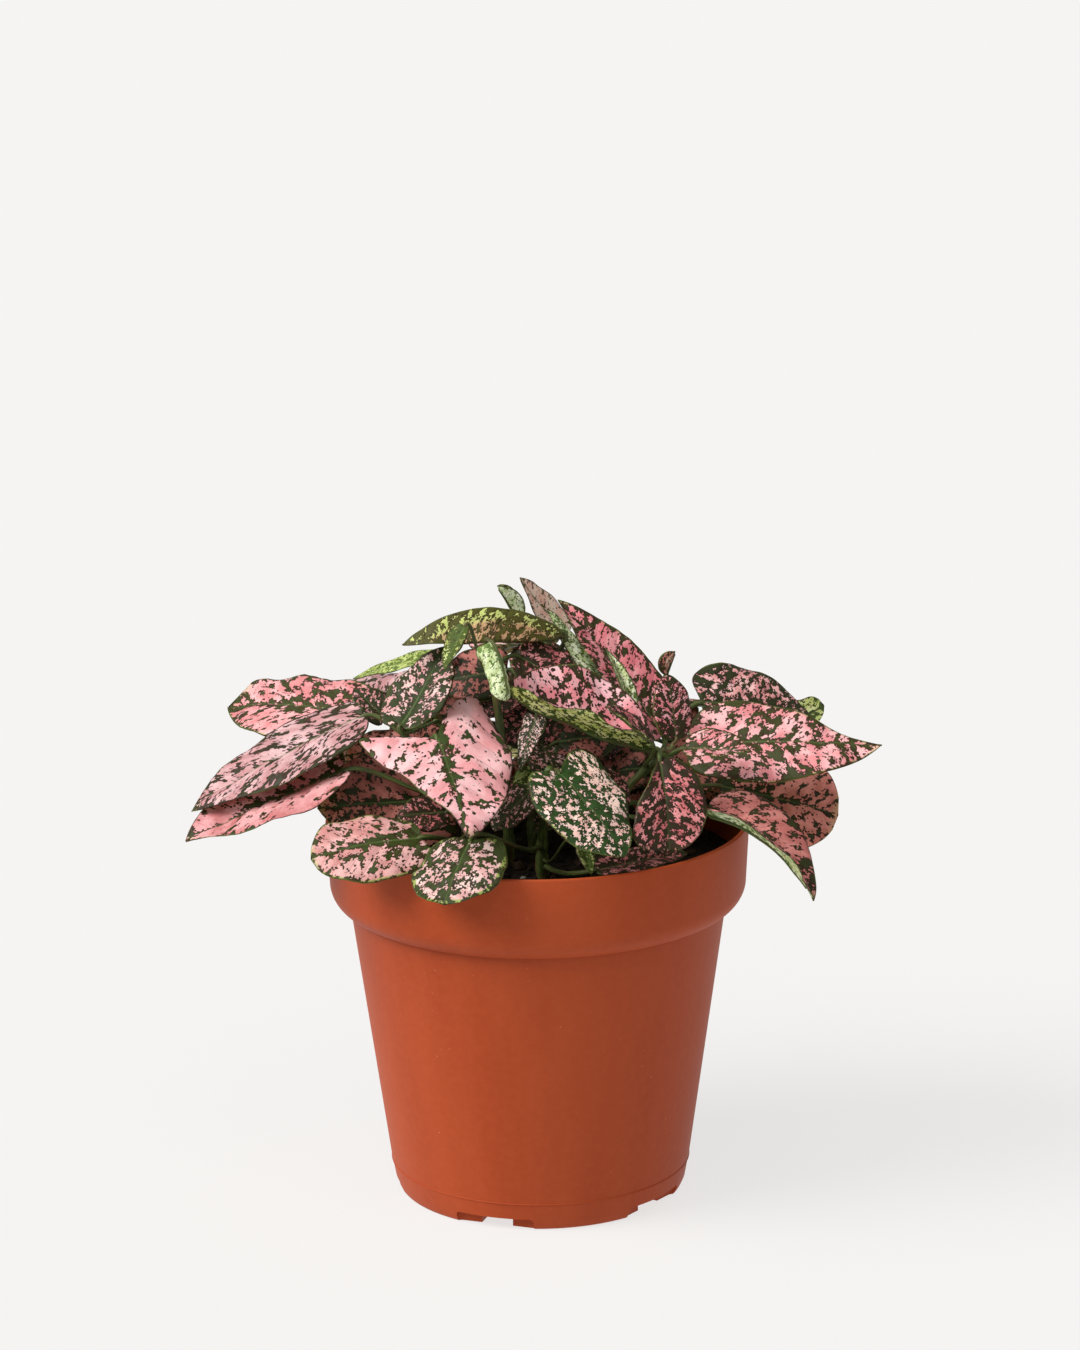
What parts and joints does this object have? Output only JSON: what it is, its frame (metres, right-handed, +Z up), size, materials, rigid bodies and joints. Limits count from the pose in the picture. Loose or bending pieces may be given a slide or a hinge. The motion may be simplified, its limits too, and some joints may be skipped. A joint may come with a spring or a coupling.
{
  "type": "potted plant",
  "caption": "Small bushy potted plant with pink, dark-spotted polka dot leaves on slender green stems, in a tapered terracotta-coloured plastic nursery pot with a deep rim band",
  "frame": {"origin": "centre of the pot's foot on the surface it stands on, below the middle of the whole plant", "axes": "+Z up along the pot's axis, the plant's front faces -Y, and its widest spread of leaves runs along X"},
  "size_m": [0.1695, 0.1236, 0.1523],
  "materials": {
    "terracotta_plastic": "satin",
    "potting_soil": "matte",
    "green_stem": "satin",
    "pink_leaf": "satin"
  },
  "bodies": {
    "root": {"pot": "terracotta_plastic", "soil": "potting_soil", "stem_1": "green_stem", "stem_2": "green_stem", "stem_3": "green_stem", "stem_4": "green_stem", "stem_5": "green_stem", "stem_6": "green_stem", "stem_7": "green_stem", "stem_8": "green_stem", "leaf_01": "pink_leaf", "leaf_02": "pink_leaf", "leaf_03": "pink_leaf", "leaf_04": "pink_leaf", "leaf_05": "pink_leaf", "leaf_06": "pink_leaf", "leaf_07": "pink_leaf", "leaf_08": "pink_leaf", "leaf_09": "pink_leaf", "leaf_10": "pink_leaf", "leaf_11": "pink_leaf", "leaf_12": "pink_leaf", "leaf_13": "pink_leaf", "leaf_14": "pink_leaf", "leaf_15": "pink_leaf", "leaf_16": "pink_leaf", "leaf_17": "pink_leaf", "leaf_18": "pink_leaf", "leaf_19": "pink_leaf", "leaf_20": "pink_leaf", "leaf_21": "pink_leaf", "leaf_22": "pink_leaf", "leaf_23": "pink_leaf", "leaf_24": "pink_leaf", "leaf_25": "pink_leaf", "leaf_26": "pink_leaf", "leaf_27": "pink_leaf", "leaf_28": "pink_leaf", "leaf_29": "pink_leaf", "leaf_30": "pink_leaf", "leaf_31": "pink_leaf", "leaf_32": "pink_leaf", "leaf_33": "pink_leaf", "leaf_34": "pink_leaf", "leaf_35": "pink_leaf", "leaf_36": "pink_leaf", "leaf_37": "pink_leaf", "leaf_38": "pink_leaf", "leaf_39": "pink_leaf", "leaf_40": "pink_leaf", "leaf_41": "pink_leaf", "leaf_42": "pink_leaf", "leaf_43": "pink_leaf", "leaf_44": "pink_leaf", "leaf_45": "pink_leaf", "leaf_46": "pink_leaf", "leaf_47": "pink_leaf", "leaf_48": "pink_leaf", "leaf_49": "pink_leaf", "leaf_50": "pink_leaf"}
  },
  "joints": []
}
